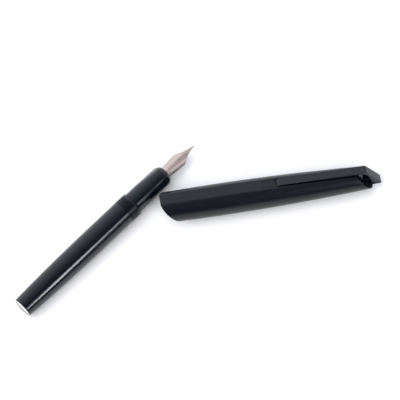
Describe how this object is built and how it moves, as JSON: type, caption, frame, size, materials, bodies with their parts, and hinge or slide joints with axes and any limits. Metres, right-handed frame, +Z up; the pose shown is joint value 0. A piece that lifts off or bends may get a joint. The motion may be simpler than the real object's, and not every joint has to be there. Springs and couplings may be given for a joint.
{
  "type": "fountain pen",
  "caption": "Uncapped cartridge and converter fountain pen with a ribbed collar and shouldered steel nib, lying beside its long oblique-ended cap with a folded strip clip.",
  "frame": {"origin": "middle of the whole layout of pen and cap, on the table they lie on", "axes": "+X along the cap from its mouth to its nose, +Z up from the table; the pen's own axis lies flat, turned 36 degrees from +X"},
  "size_m": [0.1796, 0.0706, 0.0153],
  "materials": {
    "barrel_coat": "smooth satin black lacquer",
    "collar_coat": "black lacquer over fine turned rings",
    "brass": "turned brass",
    "bright_disc": "polished plate",
    "grip_gloss": "polished blue-black",
    "seal_rubber": "matt rubber",
    "black_plastic": "moulded black",
    "nib_steel": "polished steel, warm grey",
    "tipping": "polished pellet",
    "feed_plastic": "moulded black",
    "clear_plastic": "clear moulded plastic",
    "plated_sleeve": "plated sleeve",
    "rod_steel": "threaded steel",
    "cap_coat": "fine-textured matt black",
    "clip_coat": "matt black",
    "pad_coat": "matt black"
  },
  "bodies": {
    "barrel": {"barrel": "barrel_coat", "rib_collar": "collar_coat", "barrel_insert": "brass", "tail_plug": "bright_disc"},
    "seal_ring": {"section_o_ring": "seal_rubber"},
    "section": {"section": "grip_gloss", "nib_housing": "black_plastic"},
    "writing_unit": {"nib": "nib_steel", "nib_tip": "tipping", "feed": "feed_plastic"},
    "converter": {"converter_mouth": "black_plastic", "converter_tube": "clear_plastic", "converter_collar": "plated_sleeve"},
    "knob": {"converter_knob": "black_plastic"},
    "piston": {"converter_seal": "seal_rubber", "converter_rod": "rod_steel"},
    "cap": {"cap_shell": "cap_coat", "clip_pad": "pad_coat", "inner_cap": "black_plastic", "clutch_ring": "brass", "end_plug": "black_plastic", "end_screw": "clip_coat"},
    "clip": {"clip": "clip_coat"}
  },
  "joints": [
    {"name": "section_draw", "type": "slide", "parent": "barrel", "child": "seal_ring", "axis": [0.8086, 0.5884, 0], "range_m": [0, 0.006]},
    {"name": "section_turn", "type": "hinge", "parent": "seal_ring", "child": "section", "pos_m": [-0.0223, 0.01572, 0.00605], "axis": [0.8086, 0.5884, 0], "range_deg": [0, 2161]},
    {"name": "nib_pull", "type": "slide", "parent": "section", "child": "writing_unit", "axis": [0.8086, 0.5884, 0], "range_m": [0, 0.013]},
    {"name": "converter_pull", "type": "slide", "parent": "section", "child": "converter", "axis": [-0.8086, -0.5884, 0], "range_m": [0, 0.004]},
    {"name": "knob_turn", "type": "hinge", "parent": "converter", "child": "knob", "pos_m": [-0.07728, -0.02429, 0.00605], "axis": [0.8086, 0.5884, 0], "range_deg": [0, 2401]},
    {"name": "piston_slide", "type": "slide", "parent": "converter", "child": "piston", "axis": [0.8086, 0.5884, 0], "range_m": [0, 0.02]},
    {"name": "cap_slide", "type": "slide", "parent": "barrel", "child": "cap", "axis": [1, 0, 0], "range_m": [0, 0.06]},
    {"name": "clip_flex", "type": "hinge", "parent": "cap", "child": "clip", "pos_m": [0.07881, 0.00585, 0.00544], "axis": [0, 0.9613, -0.2756], "range_deg": [0, 3], "stiffness_Nm_per_rad": 1.5}
  ],
  "couplings": [
    {"joint": "section_turn", "follows": "section_draw", "rad_per_m": 6283.2},
    {"joint": "knob_turn", "follows": "piston_slide", "rad_per_m": 2094.4}
  ]
}
